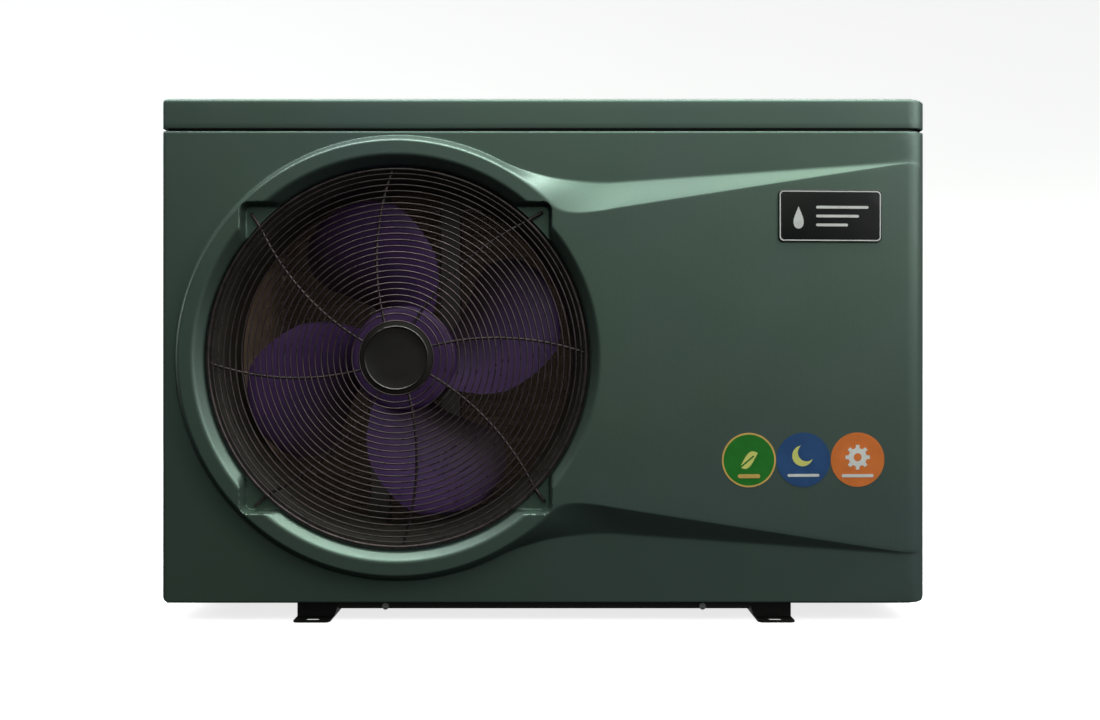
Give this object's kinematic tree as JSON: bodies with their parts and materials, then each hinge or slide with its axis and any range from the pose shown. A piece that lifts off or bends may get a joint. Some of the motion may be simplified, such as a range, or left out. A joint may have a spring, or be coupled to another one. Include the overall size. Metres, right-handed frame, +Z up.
{
  "type": "pool heat pump unit",
  "caption": "Free-standing pool heat pump: sheet-metal cabinet with a round fan guard in front, evaporator at the rear and water unions on the side.",
  "frame": {"origin": "centre of the four foot slots, on the plane the feet stand on", "axes": "+X to the right seen from the front, +Y from front to rear, +Z up"},
  "size_m": [1.0254, 0.3784, 0.656],
  "materials": {
    "painted_steel": "satin",
    "black_wire": "satin",
    "black_steel": "matte",
    "galvanised_steel": "matte",
    "black_plastic": "matte",
    "screw_steel": "satin",
    "guard_disc": "satin",
    "plate_black": "gloss",
    "label_green": "gloss",
    "label_blue": "gloss",
    "label_orange": "gloss",
    "fan_plastic": "satin",
    "rotor_steel": "matte",
    "motor_cast": "matte",
    "fin_aluminium": "satin",
    "copper": "satin",
    "compressor_black": "gloss",
    "rubber": "matte",
    "brass": "satin",
    "grey_plastic": "satin",
    "titanium": "satin",
    "circuit_board": "satin",
    "smoked_plastic": "gloss",
    "display_glass": "gloss",
    "gauge_white": "satin",
    "needle_red": "satin",
    "clear_lens": "clear",
    "blue_plastic": "satin",
    "red_plastic": "satin",
    "button_key": "matte"
  },
  "bodies": {
    "cabinet": {"front_panel": "painted_steel", "top_lid": "painted_steel", "left_side_panel": "painted_steel", "right_side_panel": "painted_steel", "rear_panel": "painted_steel", "rear_coil_guard": "black_wire", "left_coil_guard": "black_wire", "base_tray": "black_steel", "foot_rail_left": "black_steel", "foot_rail_right": "black_steel", "partition_wall": "galvanised_steel", "fan_shroud": "black_plastic", "cabinet_screws": "screw_steel", "guard_rings": "black_wire", "guard_spokes": "black_wire", "guard_center_disc": "guard_disc", "name_plate": "plate_black", "label_green": "label_green", "label_blue": "label_blue", "label_orange": "label_orange", "motor_housing": "motor_cast", "motor_bearings": "screw_steel", "motor_bracket": "galvanised_steel", "evaporator_fins": "fin_aluminium", "evaporator_tubes": "copper", "evaporator_end_plates": "galvanised_steel", "compressor_shell": "compressor_black", "compressor_grommets": "rubber", "compressor_bolts": "screw_steel", "reversing_valve": "brass", "expansion_valve": "brass", "refrigerant_pipes": "copper", "exchanger_shell": "grey_plastic", "exchanger_coil": "titanium", "water_pipes": "grey_plastic", "union_seals": "rubber", "flow_switch": "black_plastic", "electric_box": "galvanised_steel", "control_board": "circuit_board", "controller_box": "black_plastic", "display_window": "display_glass", "gauge_body": "gauge_white", "gauge_lens": "clear_lens", "cable_gland": "black_plastic", "drain_nozzle": "grey_plastic"},
    "fan": {"fan_impeller": "fan_plastic", "fan_nut": "screw_steel", "motor_shaft": "screw_steel", "motor_rotor": "rotor_steel"},
    "controller_door": {"controller_door": "smoked_plastic"},
    "power_key": {"button_power": "button_key"},
    "mode_key": {"button_mode": "button_key"},
    "up_key": {"button_up": "button_key"},
    "down_key": {"button_down": "button_key"},
    "flow_vane": {"flow_paddle": "screw_steel"},
    "gauge_hand": {"gauge_needle": "needle_red"},
    "inlet_tail": {"union_tail_inlet": "blue_plastic"},
    "inlet_nut": {"union_nut_inlet": "grey_plastic"},
    "outlet_tail": {"union_tail_outlet": "red_plastic"},
    "outlet_nut": {"union_nut_outlet": "grey_plastic"}
  },
  "joints": [
    {"name": "fan_spin", "type": "hinge", "parent": "cabinet", "child": "fan", "pos_m": [-0.1828, -0.1, 0.3305], "axis": [0, -1, 0], "continuous": true},
    {"name": "door_hinge", "type": "hinge", "parent": "cabinet", "child": "controller_door", "pos_m": [0.482, -0.06, 0.588], "axis": [0, -1, 0], "range_deg": [0, 110]},
    {"name": "power_press", "type": "slide", "parent": "cabinet", "child": "power_key", "axis": [-1, 0, 0], "range_m": [0, 0.0012], "stiffness_N_per_m": 400, "springref_m": -0.0008},
    {"name": "mode_press", "type": "slide", "parent": "cabinet", "child": "mode_key", "axis": [-1, 0, 0], "range_m": [0, 0.0012], "stiffness_N_per_m": 400, "springref_m": -0.0008},
    {"name": "up_press", "type": "slide", "parent": "cabinet", "child": "up_key", "axis": [-1, 0, 0], "range_m": [0, 0.0012], "stiffness_N_per_m": 400, "springref_m": -0.0008},
    {"name": "down_press", "type": "slide", "parent": "cabinet", "child": "down_key", "axis": [-1, 0, 0], "range_m": [0, 0.0012], "stiffness_N_per_m": 400, "springref_m": -0.0008},
    {"name": "vane_swing", "type": "hinge", "parent": "cabinet", "child": "flow_vane", "pos_m": [0.38, 0.08, 0.156], "axis": [0, 1, 0], "range_deg": [0, 25]},
    {"name": "gauge_sweep", "type": "hinge", "parent": "cabinet", "child": "gauge_hand", "pos_m": [0.4835, 0.095, 0.5], "axis": [-1, 0, 0], "range_deg": [0, 270], "stiffness_Nm_per_rad": 0.0002, "springref_deg": -17.19},
    {"name": "inlet_nut_turn", "type": "hinge", "parent": "inlet_tail", "child": "inlet_nut", "pos_m": [0.5, 0.08, 0.13], "axis": [1, 0, 0], "range_deg": [0, 1440]},
    {"name": "inlet_tail_slide", "type": "slide", "parent": "cabinet", "child": "inlet_tail", "axis": [1, 0, 0], "range_m": [0, 0.0161]},
    {"name": "outlet_nut_turn", "type": "hinge", "parent": "outlet_tail", "child": "outlet_nut", "pos_m": [0.5, 0.08, 0.35], "axis": [1, 0, 0], "range_deg": [0, 1440]},
    {"name": "outlet_tail_slide", "type": "slide", "parent": "cabinet", "child": "outlet_tail", "axis": [1, 0, 0], "range_m": [0, 0.0161]}
  ],
  "couplings": [
    {"joint": "inlet_tail_slide", "follows": "inlet_nut_turn", "m_per_rad": 0.00063662},
    {"joint": "outlet_tail_slide", "follows": "outlet_nut_turn", "m_per_rad": 0.00063662}
  ]
}
